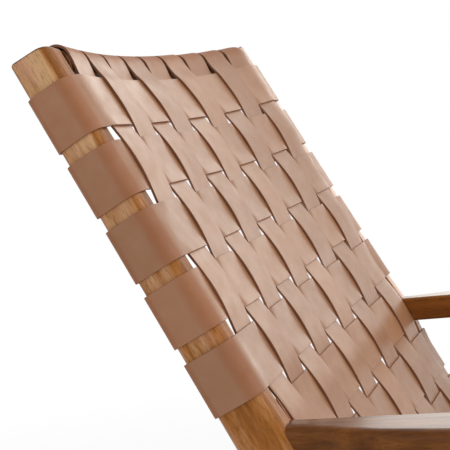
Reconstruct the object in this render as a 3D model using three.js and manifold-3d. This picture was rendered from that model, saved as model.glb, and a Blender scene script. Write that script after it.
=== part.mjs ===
// Lounge chair: a reclined wooden frame whose back and seat are woven from leather straps.
// Millimetres, +Z up. The sitter faces -Y. The chair stands on Z = 0 with its box centred on the
// origin. Left and right are the sitter's own: left is +X.
import * as THREE from "three";
import { mergeVertices } from "three/addons/utils/BufferGeometryUtils.js";
import Module from "manifold-3d";

// Clearances between pieces
const GAP = 0.3;
const WEAVE_CLEARANCE = 0.35;
const SIDE_SLOT = 4;
const ROW_TO_LEG = 3;

// Leather straps
const STRAP_WIDTH = 50;
const STRAP_THICKNESS = 2.8;
const STRAP_END_SHORT = 4;
const LEVEL_SHARE = 0.38;
const SLOPE_ALLOWANCE = 1.15;
const TUCK_BEND = 4;
const TUCK_LENGTH = 28;

// Weave
const COLUMN_COUNT = 9;
const COLUMN_GAP = 4.6;
const BACK_ROW_COUNT = 9;
const BACK_ROW_GAP = 13.9;
const SEAT_ROW_COUNT = 7;
const SEAT_ROW_GAP = 10;
const ROW_RISE = 1.1;
const RAIL_TO_ROW = 8;
const TUCKED_ROW = 5;

// Hollow of the weave across the chair
const BACK_HOLLOW_HIGH = 13.6;
const BACK_HOLLOW_LOW = 4;
const TOP_RAIL_HOLLOW = 11;
const TOP_RAIL_FADE = 45;
const SEAT_HOLLOW_ENDS = 9;
const SEAT_SAG = 10;

// Set of the back, the seat and the arms
const BACK_RECLINE = 29;
const SEAT_SLOPE = 10;
const ARM_RISE = 4.7;
const BIGHT_HEIGHT = 270;
const LOWER_RAIL_RAISE = 4;
const REAR_RAIL_SETBACK = 12;

// Woven-panel rails
const RAIL_HEIGHT = 26;
const RAIL_THICKNESS = 24;
const RAIL_ROUND = 10;
const WOOD_SETBACK = 2;

// Side frames
const POST_WIDTH = 28;
const POST_DEPTH = 40;
const POST_FRONT_ROUND = 16;
const POST_INNER_ROUND = 4;
const POST_REAR_ROUND = 9;
const POST_TOP_RISE = 39;
const POST_DOME_HEIGHT = 9;
const POST_DOME_INSET = 7;
const SIDE_RAIL_DEPTH = 44;
const SIDE_RAIL_ROUND = 9;
const SIDE_RAIL_TAIL = 60;
const LEG_ROUND = 7;
const FRONT_LEG_DEPTH = 46;
const FRONT_FOOT_DEPTH = 32;
const REAR_LEG_DEPTH = 40;
const REAR_FOOT_DEPTH = 30;
const REAR_LEG_RAKE = 24;
const REAR_LEG_SET = 32;
const GLIDE_RADIUS = 11;
const GLIDE_HEIGHT = 3;
const GLIDE_CHAMFER = 1;

// Arms
const ARM_THICKNESS = 28;
const ARM_ROUND = 8;
const ARM_INNER_ROUND = 3;
const ARM_BELOW_ROW_EDGE = 16.5;
const ARM_OVERHANG = 30;
const ARM_REAR_WIDTH = 22.5;
const ARM_HEEL_LENGTH = 34;
const ARM_HEEL_WIDTH = 25.5;
const ARM_BEND_LENGTH = 68;
const ARM_BEND_WIDTH = 39.5;
const ARM_FLARE_LENGTH = 140;
const ARM_FLARE_WIDTH = 51.5;
const ARM_MIDDLE_WIDTH = 64;
const ARM_FRONT_WIDTH = 52;
const ARM_NOSE = 24;
const ARM_COVE = 5;
const ARM_COPE = 12;

// Tenons
const TENON_THICKNESS = 11;
const TENON_HEIGHT = 16;
const TENON_LENGTH = 14;
const TENON_ROOT = 6;
const SIDE_TENON_RAISE = 13;

const CORNER_STEPS = 3;
const POST_FRONT_STEPS = 4;
const DOME_STEPS = 3;
const NOSE_STEPS = 4;
const COVE_STEPS = 3;
const ARM_STATIONS = 12;
const ARM_STATION_CROWDING = 1.6;
const ARM_CURVE_STEPS = 60;
const GLIDE_SIDES = 16;

const wasm = await Module();
wasm.setup();

const leather = { color: 0xb98f76, roughness: 0.55, metalness: 0 };
const wood = { color: 0xa86a34, roughness: 0.45, metalness: 0 };
const rubber = { color: 0x2b2622, roughness: 0.8, metalness: 0 };

// Sizes that follow from the driving dimensions
const radians = THREE.MathUtils.degToRad;
const columnPitch = STRAP_WIDTH + COLUMN_GAP;
const halfWeave = ((COLUMN_COUNT - 1) / 2) * columnPitch + STRAP_WIDTH / 2;
const frameInner = halfWeave + SIDE_SLOT;
const frameOuter = frameInner + POST_WIDTH;
const frameMiddle = frameInner + POST_WIDTH / 2;
const strapOffset = STRAP_THICKNESS / 2 + GAP;

// Closed geometry from rings of points that all have the same count
function loft(rings) {
  const count = rings[0].length;
  const positions = rings.flat().flatMap((point) => [point.x, point.y, point.z]);
  const faces = [];
  for (let ring = 0; ring + 1 < rings.length; ring++) {
    for (let k = 0; k < count; k++) {
      const next = (k + 1) % count;
      const low = ring * count;
      const high = low + count;
      faces.push(low + k, low + next, high + next, low + k, high + next, high + k);
    }
  }
  const last = (rings.length - 1) * count;
  for (let k = 1; k + 1 < count; k++) {
    faces.push(0, k + 1, k, last, last + k, last + k + 1);
  }
  const geometry = new THREE.BufferGeometry();
  geometry.setAttribute("position", new THREE.Float32BufferAttribute(positions, 3));
  geometry.setIndex(faces);
  return facingOut(geometry);
}

function enclosedVolume(geometry) {
  const corner = [new THREE.Vector3(), new THREE.Vector3(), new THREE.Vector3()];
  const index = geometry.index.array;
  let volume = 0;
  for (let face = 0; face < index.length; face += 3) {
    corner.forEach((point, k) => point.fromBufferAttribute(geometry.attributes.position, index[face + k]));
    volume += corner[0].dot(corner[1].clone().cross(corner[2])) / 6;
  }
  return volume;
}

function facingOut(geometry) {
  if (enclosedVolume(geometry) < 0) {
    geometry.setIndex(Array.from(geometry.index.array).reverse());
  }
  return geometry;
}

function mirrored(geometry) {
  return facingOut(geometry.clone().scale(-1, 1, 1));
}

// Solids for joining and cutting
function solid(geometry) {
  const bare = new THREE.BufferGeometry();
  bare.setAttribute("position", geometry.attributes.position.clone());
  bare.setIndex(geometry.index.clone());
  const merged = mergeVertices(bare);
  const mesh = new wasm.Mesh({
    numProp: 3,
    vertProperties: new Float32Array(merged.attributes.position.array),
    triVerts: new Uint32Array(merged.index.array),
  });
  return new wasm.Manifold(mesh);
}

function geometryOf(manifold) {
  const mesh = manifold.getMesh();
  const geometry = new THREE.BufferGeometry();
  geometry.setAttribute("position", new THREE.Float32BufferAttribute(mesh.vertProperties, 3));
  geometry.setIndex(Array.from(mesh.triVerts));
  return geometry;
}

function joined(geometry, additions) {
  return geometryOf(additions.reduce((whole, piece) => whole.add(solid(piece)), solid(geometry)));
}

function cut(geometry, cutters) {
  return geometryOf(cutters.reduce((whole, piece) => whole.subtract(solid(piece)), solid(geometry)));
}

// Box given by its range on each axis, grown on every side by a clearance
function block(ranges, clearance) {
  const size = ranges.map(([low, high]) => high - low + 2 * clearance);
  const middle = ranges.map(([low, high]) => (low + high) / 2);
  return new THREE.BoxGeometry(...size).translate(...middle);
}

function about(middle, width) {
  return [middle - width / 2, middle + width / 2];
}

function point(x, y, z) {
  return new THREE.Vector3(x, y, z);
}

// Rounded rectangle as pairs of coordinates. The radii start at the corner (a1, b1) and go on
// over (a0, b1), and that first corner can have more steps.
function roundedRectangle(a0, a1, b0, b1, radii, firstSteps = CORNER_STEPS) {
  const [first, second, third, fourth] = radii;
  return [
    ...arc(a1 - first, b1 - first, first, 0, 90, firstSteps),
    ...arc(a0 + second, b1 - second, second, 90, 180),
    ...arc(a0 + third, b0 + third, third, 180, 270),
    ...arc(a1 - fourth, b0 + fourth, fourth, 270, 360),
  ];
}

function arc(a, b, radius, from, to, steps = CORNER_STEPS) {
  return Array.from({ length: steps + 1 }, (_, k) => {
    const angle = radians(from + ((to - from) * k) / steps);
    return [a + radius * Math.cos(angle), b + radius * Math.sin(angle)];
  });
}

function evenRounds(radius) {
  return [radius, radius, radius, radius];
}

// Moves a ring's points along an axis until they lie on a plane
function slidToPlane(ring, axis, plane) {
  return ring.map((at) => {
    const distance = -plane.distanceToPoint(at) / plane.normal.dot(axis);
    return at.clone().addScaledVector(axis, distance);
  });
}

// Frames: each woven panel, and the arms, has X across the chair and Z towards the sitter.
// The back's Y runs up the panel and the seat's and arms' Y runs rearwards.
function frameAt(y, z, turn) {
  return new THREE.Matrix4().makeTranslation(0, y, z).multiply(new THREE.Matrix4().makeRotationX(turn));
}

function between(from, to) {
  return to.clone().invert().multiply(from);
}

const backFrame = frameAt(0, BIGHT_HEIGHT, radians(90 - BACK_RECLINE));
const seatFrame = frameAt(0, BIGHT_HEIGHT, radians(-SEAT_SLOPE));

// A woven panel: where its rows lie, how hollow it is and how far its columns swing. The rows lie
// nearly straight, so the columns swing far enough to pass the rows' edges.
function wovenPanel({ rowCount, rowGap, farRailEdge, hollow }) {
  const rowPitch = STRAP_WIDTH + rowGap;
  const farEdge = farRailEdge - RAIL_HEIGHT;
  const firstRow = farEdge - RAIL_TO_ROW - STRAP_WIDTH / 2;
  const lastRow = firstRow - (rowCount - 1) * rowPitch;
  const nearEdge = lastRow - STRAP_WIDTH / 2 - RAIL_TO_ROW;
  const edgeShare = (gap, pitch) => Math.min(1, gap / 2 / (pitch * (0.5 - LEVEL_SHARE)));
  const rowPart = ROW_RISE * edgeShare(COLUMN_GAP, columnPitch);
  const apart = STRAP_THICKNESS * SLOPE_ALLOWANCE + WEAVE_CLEARANCE;
  const columnRise = (apart - rowPart) / edgeShare(rowGap, rowPitch);
  const depth = (x, y) => {
    const across = Math.min(1, Math.abs(x) / frameInner);
    const along = THREE.MathUtils.clamp(y, nearEdge, farEdge);
    return -hollow(along, nearEdge, farEdge) * (1 - across * across);
  };
  return { rowCount, rowPitch, farEdge, farRailEdge, firstRow, lastRow, nearEdge, columnRise, depth };
}

const backRows = BACK_ROW_COUNT * STRAP_WIDTH + (BACK_ROW_COUNT - 1) * BACK_ROW_GAP;
const back = wovenPanel({
  rowCount: BACK_ROW_COUNT,
  rowGap: BACK_ROW_GAP,
  farRailEdge: LOWER_RAIL_RAISE + 2 * (RAIL_HEIGHT + RAIL_TO_ROW) + backRows,
  hollow: (y, low, high) => {
    const even = THREE.MathUtils.mapLinear(y, low, high, BACK_HOLLOW_LOW, BACK_HOLLOW_HIGH);
    return even + TOP_RAIL_HOLLOW * Math.exp((y - high) / TOP_RAIL_FADE);
  },
});
const seat = wovenPanel({
  rowCount: SEAT_ROW_COUNT,
  rowGap: SEAT_ROW_GAP,
  farRailEdge: -REAR_RAIL_SETBACK,
  hollow: (y, low, high) => {
    const share = THREE.MathUtils.inverseLerp(low, high, y);
    return SEAT_HOLLOW_ENDS + SEAT_SAG * 4 * share * (1 - share);
  },
});

// Swing of a strap about the weave at a distance from the first crossing: level over each
// crossing, and straight slopes between
function swing(distance, pitch) {
  const crossing = Math.round(distance / pitch);
  const beyond = Math.max(0, Math.abs(distance / pitch - crossing) - LEVEL_SHARE);
  const height = 1 - beyond / (0.5 - LEVEL_SHARE);
  return crossing % 2 === 0 ? height : -height;
}

function crossings(count, first, pitch) {
  const edges = [-LEVEL_SHARE * pitch, LEVEL_SHARE * pitch];
  return Array.from({ length: count }, (_, k) => edges.map((edge) => first + k * pitch + edge)).flat();
}

// Middle line of a strap's end as it turns round a member: over its front, its far side and
// along its back. A strap that arrives below the near corner first follows that corner.
function wrap({ near, far, front, rear, rounds, farSteps, arrival }) {
  const [farRound, nearRound, , rearRound] = rounds;
  const turn = (radius) => radius + strapOffset;
  const corner = arc(near + nearRound, front - nearRound, turn(nearRound), 90 + 90, 90)[CORNER_STEPS - 1];
  const start = [near + nearRound, front + strapOffset];
  return [
    ...(arrival < corner[1] ? [corner] : []),
    start,
    ...arc(far - farRound, front - farRound, turn(farRound), 90, 0, farSteps),
    ...arc(far - rearRound, rear + rearRound, turn(rearRound), 0, -90),
    [near + STRAP_END_SHORT, rear - strapOffset],
  ];
}

// Middle line of the tucked row's end: a bend and a run along the inner face of the post
function tuck(height) {
  const inside = frameInner - strapOffset;
  const bend = arc(inside - TUCK_BEND, height - TUCK_BEND, TUCK_BEND, 90, 0);
  return [...bend, [inside, height - TUCK_BEND - TUCK_LENGTH]];
}

// Normals of a middle line, lengthened at its corners so that the strap keeps its thickness
function mitres(line) {
  const step = (k) => new THREE.Vector2().subVectors(line[k + 1], line[k]).normalize();
  return line.map((_, k) => {
    const before = step(Math.max(0, k - 1));
    const after = step(Math.min(line.length - 2, k));
    const along = before.clone().add(after).normalize();
    return new THREE.Vector2(-along.y, along.x).divideScalar(along.dot(after));
  });
}

// Strap along a middle line, between two edges. place() puts a line's point at an edge.
function strap(line, edges, place) {
  const middle = (edges[0] + edges[1]) / 2;
  const flat = line.map(([a, b]) => new THREE.Vector2(a, place(a, b, middle).z));
  const half = STRAP_THICKNESS / 2;
  const normals = mitres(flat);
  const rings = line.map(([a, b], k) => {
    const side = normals[k].clone().multiplyScalar(half);
    const corner = (edge, sign) => {
      const at = place(a, b, edge);
      const moved = place(a + sign * side.x, b, edge);
      return point(moved.x, moved.y, at.z + sign * side.y);
    };
    return [corner(edges[0], 1), corner(edges[1], 1), corner(edges[1], -1), corner(edges[0], -1)];
  });
  return loft(rings);
}

const postRounds = [POST_FRONT_ROUND, POST_INNER_ROUND, POST_REAR_ROUND, POST_REAR_ROUND];
const postMember = { depth: POST_DEPTH, rounds: postRounds, farSteps: POST_FRONT_STEPS };
const sideRailMember = { depth: SIDE_RAIL_DEPTH, rounds: evenRounds(SIDE_RAIL_ROUND) };

function rowStrap(panel, row, sideMember, tucked) {
  const y = panel.firstRow - row * panel.rowPitch;
  const sign = row % 2 === 0 ? 1 : -1;
  const firstColumn = -((COLUMN_COUNT - 1) / 2) * columnPitch;
  const woven = crossings(COLUMN_COUNT, firstColumn, columnPitch).map((x) => {
    return [x, sign * ROW_RISE * swing(x - firstColumn, columnPitch)];
  });
  const arrival = sign * ROW_RISE;
  const across = { near: frameInner, far: frameOuter };
  const through = { front: -WOOD_SETBACK, rear: -WOOD_SETBACK - sideMember.depth };
  const end = tucked ? tuck(arrival) : wrap({ ...across, ...through, ...sideMember, arrival });
  const start = end.map(([x, z]) => [-x, z]).reverse();
  const edges = [y - STRAP_WIDTH / 2, y + STRAP_WIDTH / 2];
  return strap([...start, ...woven, ...end], edges, (a, b, edge) => {
    return point(a, edge, b + panel.depth(a, edge));
  });
}

function columnStrap(panel, column) {
  const x = (column - (COLUMN_COUNT - 1) / 2) * columnPitch;
  const sign = column % 2 === 0 ? -1 : 1;
  const woven = crossings(panel.rowCount, panel.lastRow, panel.rowPitch).map((y) => {
    return [y, sign * panel.columnRise * swing(panel.firstRow - y, panel.rowPitch)];
  });
  const arrival = sign * panel.columnRise;
  const lastArrival = panel.rowCount % 2 === 1 ? arrival : -arrival;
  const rail = {
    front: -WOOD_SETBACK,
    rear: -WOOD_SETBACK - RAIL_THICKNESS,
    rounds: evenRounds(RAIL_ROUND),
  };
  const farRail = { near: panel.farEdge, far: panel.farRailEdge, arrival };
  const nearRail = { near: -panel.nearEdge, far: RAIL_HEIGHT - panel.nearEdge, arrival: lastArrival };
  const farEnd = wrap({ ...rail, ...farRail });
  const nearEnd = wrap({ ...rail, ...nearRail }).map(([y, z]) => [-y, z]).reverse();
  const edges = [x - STRAP_WIDTH / 2, x + STRAP_WIDTH / 2];
  return strap([...nearEnd, ...woven, ...farEnd], edges, (a, b, edge) => {
    return point(edge, a, b + panel.depth(edge, a));
  });
}

const tenonAcross = about(frameMiddle, TENON_THICKNESS);

// Tenon of a cross rail, from inside the rail's end into a side member
function crossTenon(middleY, clearance) {
  const along = [frameInner - TENON_ROOT, frameInner + TENON_LENGTH];
  const middleZ = -WOOD_SETBACK - RAIL_THICKNESS / 2;
  return block([along, about(middleY, TENON_HEIGHT), about(middleZ, TENON_THICKNESS)], clearance);
}

// Cross rail of a panel, hollowed across the chair as the weave is, with a tenon at each end
function crossRail(panel, lowEdge) {
  const inside = frameInner - GAP;
  const gaps = Array.from({ length: COLUMN_COUNT + 1 }, (_, k) => (k - COLUMN_COUNT / 2) * columnPitch);
  const stations = [-inside, ...gaps, inside];
  const rear = -WOOD_SETBACK - RAIL_THICKNESS;
  const rounds = evenRounds(RAIL_ROUND);
  const section = roundedRectangle(lowEdge, lowEdge + RAIL_HEIGHT, rear, -WOOD_SETBACK, rounds);
  const rings = stations.map((x) => {
    return section.map(([y, z]) => point(x, y, z + panel.depth(x, lowEdge + RAIL_HEIGHT / 2)));
  });
  const tenon = crossTenon(lowEdge + RAIL_HEIGHT / 2, 0);
  return joined(loft(rings), [tenon, mirrored(tenon)]);
}

// Back post: straight, softly domed on top, its foot cut to the seat's side rail
const postTop = back.farEdge - RAIL_TO_ROW + POST_TOP_RISE;
const postFront = -WOOD_SETBACK;
const postRear = -WOOD_SETBACK - POST_DEPTH;

function planeIn(frame, normal, at) {
  return new THREE.Plane().setFromNormalAndCoplanarPoint(normal, at).applyMatrix4(frame);
}

const up = point(0, 0, 1);

function postRing(y, inset) {
  const rounds = postRounds.map((radius) => radius - Math.min(inset, radius / 2));
  const [low, high] = [postRear + inset, postFront - inset];
  const shape = roundedRectangle(frameInner + inset, frameOuter - inset, low, high, rounds, POST_FRONT_STEPS);
  return shape.map(([x, z]) => point(x, y, z));
}

function postFootTenon(clearance) {
  const along = [-WOOD_SETBACK - TENON_LENGTH, TENON_ROOT - WOOD_SETBACK];
  return block([tenonAcross, about(POST_DEPTH / 2, TENON_HEIGHT), along], clearance);
}

function backPost() {
  const railTop = planeIn(between(seatFrame, backFrame), up, point(0, 0, GAP - WOOD_SETBACK));
  const foot = slidToPlane(postRing(0, 0), point(0, 1, 0), railTop);
  const dome = Array.from({ length: DOME_STEPS + 1 }, (_, k) => {
    const angle = (Math.PI / 2) * (k / DOME_STEPS);
    const below = POST_DOME_HEIGHT * (1 - Math.sin(angle));
    return postRing(postTop - below, POST_DOME_INSET * (1 - Math.cos(angle)));
  });
  const whole = joined(loft([foot, ...dome]), [postFootTenon(0).applyMatrix4(between(seatFrame, backFrame))]);
  const mortises = [
    crossTenon(back.farEdge + RAIL_HEIGHT / 2, GAP),
    crossTenon(back.nearEdge - RAIL_HEIGHT / 2, GAP),
    armTenon(GAP).applyMatrix4(between(armFrame, backFrame)),
  ];
  return cut(whole, mortises);
}

// Front leg: upright, tapering to its foot
const wrapBottom = -WOOD_SETBACK - SIDE_RAIL_DEPTH - STRAP_THICKNESS - GAP;
const lastSeatEdge = seat.lastRow - STRAP_WIDTH / 2 - ROW_TO_LEG;
const legRear = point(0, lastSeatEdge, wrapBottom).applyMatrix4(seatFrame).y;
const legFront = legRear - FRONT_LEG_DEPTH;
const footMiddle = (legRear + legFront) / 2;
const footBottom = GLIDE_HEIGHT + GAP;

// Arm: from the post's front face, over the front leg, widening outwards from a straight inner edge
const tuckedRowEdge = back.firstRow + STRAP_WIDTH / 2 - TUCKED_ROW * back.rowPitch;
const armSeat = point(0, tuckedRowEdge - ARM_BELOW_ROW_EDGE, postFront).applyMatrix4(backFrame);
const armFrame = frameAt(armSeat.y, armSeat.z, radians(-ARM_RISE));
const armLength = (armSeat.y - legFront) / Math.cos(radians(ARM_RISE)) + ARM_OVERHANG;
const armWidths = new THREE.SplineCurve([
  new THREE.Vector2(0, ARM_REAR_WIDTH),
  new THREE.Vector2(ARM_HEEL_LENGTH, ARM_HEEL_WIDTH),
  new THREE.Vector2(ARM_BEND_LENGTH, ARM_BEND_WIDTH),
  new THREE.Vector2(ARM_FLARE_LENGTH, ARM_FLARE_WIDTH),
  new THREE.Vector2(armLength / 2, ARM_MIDDLE_WIDTH),
  new THREE.Vector2(armLength, ARM_FRONT_WIDTH),
]).getPoints(ARM_CURVE_STEPS);

function armWidthAt(distance) {
  const after = armWidths.findIndex((sample, k) => k > 0 && (sample.x >= distance || k === ARM_CURVE_STEPS));
  const [low, high] = [armWidths[after - 1], armWidths[after]];
  return THREE.MathUtils.mapLinear(distance, low.x, high.x, low.y, high.y);
}

// The arm's sections lean with the post at its rear end and stand square at its nose
function armRing(distance, inset, lift) {
  const outer = frameInner + armWidthAt(distance) - inset;
  const lean = Math.tan(radians(BACK_RECLINE - ARM_RISE)) * (1 - distance / armLength);
  const rounds = [ARM_ROUND, ARM_INNER_ROUND, ARM_INNER_ROUND, ARM_ROUND];
  const shape = roundedRectangle(frameInner + inset, outer, -ARM_THICKNESS, lift, rounds);
  return shape.map(([x, z]) => point(x, z * lean - distance, z));
}

function armTenon(clearance) {
  const across = about(frameInner + ARM_REAR_WIDTH / 2, TENON_THICKNESS);
  const along = [-ARM_THICKNESS / 2 - TENON_ROOT, TENON_LENGTH];
  return block([across, along, about(-ARM_THICKNESS / 2, TENON_HEIGHT)], clearance);
}

// The arm's rear end is coped: cut to the post's rounded front
function armGeometry() {
  const coveLift = (distance) => ARM_COVE - Math.sqrt(ARM_COVE ** 2 - (ARM_COVE - distance) ** 2);
  const cove = Array.from({ length: COVE_STEPS }, (_, k) => ARM_COVE * (k / COVE_STEPS) ** 2);
  const straight = armLength - ARM_NOSE - ARM_COVE;
  const body = Array.from({ length: ARM_STATIONS }, (_, k) => {
    return ARM_COVE + straight * (k / (ARM_STATIONS - 1)) ** ARM_STATION_CROWDING;
  });
  const nose = Array.from({ length: NOSE_STEPS }, (_, k) => {
    const angle = (Math.PI / 2) * ((k + 1) / NOSE_STEPS);
    const halfWidth = armWidthAt(armLength - ARM_NOSE) / 2;
    const inset = (halfWidth - ARM_ROUND - GAP) * (1 - Math.cos(angle));
    return armRing(armLength - ARM_NOSE + ARM_NOSE * Math.sin(angle), inset, 0);
  });
  const coveRings = cove.map((distance) => armRing(distance, 0, coveLift(distance)));
  const bodyRings = body.map((distance) => armRing(distance, 0, 0));
  const rings = [armRing(-ARM_COPE, 0, ARM_COVE), ...coveRings, ...bodyRings, ...nose];
  const clearOfPost = loft([postRing(0, -GAP), postRing(postTop, -GAP)]);
  const coped = cut(loft(rings), [clearOfPost.applyMatrix4(between(backFrame, armFrame))]);
  const whole = joined(coped, [armTenon(0)]);
  return cut(whole, [legTopTenon(GAP).applyMatrix4(between(new THREE.Matrix4(), armFrame))]);
}

const armUnderside = (clearance) => planeIn(armFrame, up, point(0, 0, -ARM_THICKNESS - clearance));

function legHeightUnderArm(y) {
  const plane = armUnderside(0);
  return -(plane.constant + plane.normal.y * y) / plane.normal.z;
}

function legTopTenon(clearance) {
  const top = legHeightUnderArm(footMiddle);
  const along = [top - TENON_ROOT, top + TENON_LENGTH];
  return block([tenonAcross, about(footMiddle, TENON_HEIGHT), along], clearance);
}

function legRing(z, depth, middleY) {
  const [low, high] = about(middleY, depth);
  const shape = roundedRectangle(frameInner, frameOuter, low, high, evenRounds(LEG_ROUND));
  return shape.map(([x, y]) => point(x, y, z));
}

function sideRailTenon(clearance) {
  const middleZ = -WOOD_SETBACK - SIDE_RAIL_DEPTH + SIDE_TENON_RAISE;
  const along = [lastSeatEdge - TENON_LENGTH, lastSeatEdge + TENON_ROOT];
  return block([tenonAcross, along, about(middleZ, TENON_HEIGHT)], clearance);
}

function frontLeg() {
  const seatLevel = point(0, lastSeatEdge, 0).applyMatrix4(seatFrame).z - SIDE_RAIL_DEPTH;
  const top = slidToPlane(legRing(seatLevel, FRONT_LEG_DEPTH, footMiddle), up, armUnderside(GAP));
  const rings = [
    legRing(footBottom, FRONT_FOOT_DEPTH, footMiddle),
    legRing(seatLevel, FRONT_LEG_DEPTH, footMiddle),
    top,
  ];
  const mortises = [
    sideRailTenon(GAP).applyMatrix4(seatFrame),
    crossTenon(seat.nearEdge - RAIL_HEIGHT / 2, GAP).applyMatrix4(seatFrame),
  ];
  return cut(joined(loft(rings), [legTopTenon(0)]), mortises);
}

// Side rail of the seat: carries the back post on top and the rear leg below
function rearLegTenon(clearance) {
  const underside = -WOOD_SETBACK - SIDE_RAIL_DEPTH;
  const along = [underside - TENON_ROOT, underside + TENON_LENGTH];
  return block([tenonAcross, about(REAR_LEG_SET, TENON_HEIGHT), along], clearance);
}

function sideRail() {
  const [low, high] = [-WOOD_SETBACK - SIDE_RAIL_DEPTH, -WOOD_SETBACK];
  const section = roundedRectangle(frameInner, frameOuter, low, high, sideRailMember.rounds);
  const ring = (y) => section.map(([x, z]) => point(x, y, z));
  const legFace = planeIn(seatFrame.clone().invert(), point(0, 1, 0), point(0, legRear + GAP, 0));
  const front = slidToPlane(ring(0), point(0, 1, 0), legFace);
  const whole = joined(loft([front, ring(SIDE_RAIL_TAIL)]), [sideRailTenon(0)]);
  const mortises = [
    crossTenon(seat.farEdge + RAIL_HEIGHT / 2, GAP),
    postFootTenon(GAP),
    rearLegTenon(GAP),
  ];
  return cut(whole, mortises);
}

// Rear leg: raked back from under the side rail, tapering to its foot
const rearLegTop = point(0, REAR_LEG_SET, -WOOD_SETBACK - SIDE_RAIL_DEPTH).applyMatrix4(seatFrame);
const rakeSlope = Math.tan(radians(REAR_LEG_RAKE));
const rearFootY = rearLegTop.y + (rearLegTop.z - footBottom) * rakeSlope;

function rearLeg() {
  const axis = point(0, -rakeSlope, 1).normalize();
  const level = Math.cos(radians(REAR_LEG_RAKE));
  const railUnderside = planeIn(seatFrame, up, point(0, 0, -WOOD_SETBACK - SIDE_RAIL_DEPTH - GAP));
  const top = slidToPlane(legRing(rearLegTop.z, REAR_LEG_DEPTH / level, rearLegTop.y), axis, railUnderside);
  const foot = legRing(footBottom, REAR_FOOT_DEPTH / level, rearFootY);
  return joined(loft([foot, top]), [rearLegTenon(0).applyMatrix4(seatFrame)]);
}

function glide() {
  const profile = [
    new THREE.Vector2(0, 0),
    new THREE.Vector2(GLIDE_RADIUS - GLIDE_CHAMFER, 0),
    new THREE.Vector2(GLIDE_RADIUS, GLIDE_CHAMFER),
    new THREE.Vector2(GLIDE_RADIUS, GLIDE_HEIGHT),
    new THREE.Vector2(0, GLIDE_HEIGHT),
  ];
  return new THREE.LatheGeometry(profile, GLIDE_SIDES).rotateX(Math.PI / 2);
}

// Assembly
function group(frame) {
  const holder = new THREE.Group();
  holder.applyMatrix4(frame);
  return holder;
}

function add(holder, name, geometry, finish) {
  const mesh = new THREE.Mesh(geometry, new THREE.MeshStandardMaterial(finish));
  mesh.name = name;
  holder.add(mesh);
  return mesh;
}

function addPair(holder, name, geometry) {
  add(holder, `${name}_left`, geometry, wood);
  add(holder, `${name}_right`, mirrored(geometry), wood);
}

const chair = new THREE.Group();
const backGroup = group(backFrame);
const seatGroup = group(seatFrame);
const armGroup = group(armFrame);
chair.add(backGroup, seatGroup, armGroup);

addPair(backGroup, "back_post", backPost());
add(backGroup, "top_rail", crossRail(back, back.farEdge), wood);
add(backGroup, "lower_back_rail", crossRail(back, back.nearEdge - RAIL_HEIGHT), wood);
addPair(seatGroup, "seat_side_rail", sideRail());
add(seatGroup, "rear_seat_rail", crossRail(seat, seat.farEdge), wood);
add(seatGroup, "front_seat_rail", crossRail(seat, seat.nearEdge - RAIL_HEIGHT), wood);
addPair(armGroup, "arm", armGeometry());
addPair(chair, "front_leg", frontLeg());
addPair(chair, "rear_leg", rearLeg());

for (const [end, y] of [["front", footMiddle], ["rear", rearFootY]]) {
  for (const [side, x] of [["left", frameMiddle], ["right", -frameMiddle]]) {
    add(chair, `glide_${end}_${side}`, glide(), rubber).position.set(x, y, 0);
  }
}

for (let column = 0; column < COLUMN_COUNT; column++) {
  add(backGroup, `back_column_strap_${column + 1}`, columnStrap(back, column), leather);
  add(seatGroup, `seat_column_strap_${column + 1}`, columnStrap(seat, column), leather);
}
for (let row = 0; row < BACK_ROW_COUNT; row++) {
  const strapGeometry = rowStrap(back, row, postMember, row === TUCKED_ROW);
  add(backGroup, `back_row_strap_${row + 1}`, strapGeometry, leather);
}
for (let row = 0; row < SEAT_ROW_COUNT; row++) {
  add(seatGroup, `seat_row_strap_${row + 1}`, rowStrap(seat, row, sideRailMember, false), leather);
}

chair.updateMatrixWorld(true);
chair.position.y = -new THREE.Box3().setFromObject(chair, true).getCenter(new THREE.Vector3()).y;

export default chair;
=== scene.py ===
# %% [markdown]
# # A lounge chair woven from leather straps
# The chair is a reclined wooden frame. Its back and its seat are plain weaves of wide leather
# straps, pulled round the frame and tacked behind it. The frame comes from the CAD model, so
# everything here is placed in that model's coordinates: metres, Z up, the sitter facing -Y.
# Loading it first means that no piece has to be fitted by eye later.

# %% Load the frame
import math
import random

import bmesh
import bpy
from mathutils import Matrix, Vector


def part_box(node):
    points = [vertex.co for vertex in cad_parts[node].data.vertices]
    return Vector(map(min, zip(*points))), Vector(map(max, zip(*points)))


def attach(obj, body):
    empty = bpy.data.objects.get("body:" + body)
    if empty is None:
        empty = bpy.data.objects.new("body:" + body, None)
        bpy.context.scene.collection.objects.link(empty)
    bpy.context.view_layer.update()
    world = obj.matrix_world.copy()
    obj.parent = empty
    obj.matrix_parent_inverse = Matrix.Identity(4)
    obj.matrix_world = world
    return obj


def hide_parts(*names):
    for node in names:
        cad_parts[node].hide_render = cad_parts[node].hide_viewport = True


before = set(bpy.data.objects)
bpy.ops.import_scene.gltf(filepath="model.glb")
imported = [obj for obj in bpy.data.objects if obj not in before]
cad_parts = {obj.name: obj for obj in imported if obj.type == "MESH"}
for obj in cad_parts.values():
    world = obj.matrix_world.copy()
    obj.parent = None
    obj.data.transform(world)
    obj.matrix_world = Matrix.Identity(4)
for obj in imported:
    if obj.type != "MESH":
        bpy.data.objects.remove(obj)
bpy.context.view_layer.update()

# %% [markdown]
# ## The sizes of the weave
# A plain weave needs few sizes: how wide and thick a strap is, how far apart the straps lie, and
# how many there are each way. Straps could be drawn one by one, but a weaver works from a count
# and a gap, and so does this cell. The columns are cut a little narrower than the rows, which
# leaves small holes at the crossings. The posts' places are read from the frame.

# %% Sizes of straps and weave
MM = 0.001
STRAP_WIDTH = 50 * MM
STRAP_THICKNESS = 2.4 * MM
COLUMN_WIDTH = 47.6 * MM
COLUMN_PITCH = 54.6 * MM
COLUMN_COUNT = 9
CONTACT_GAP = 0.3 * MM

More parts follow.
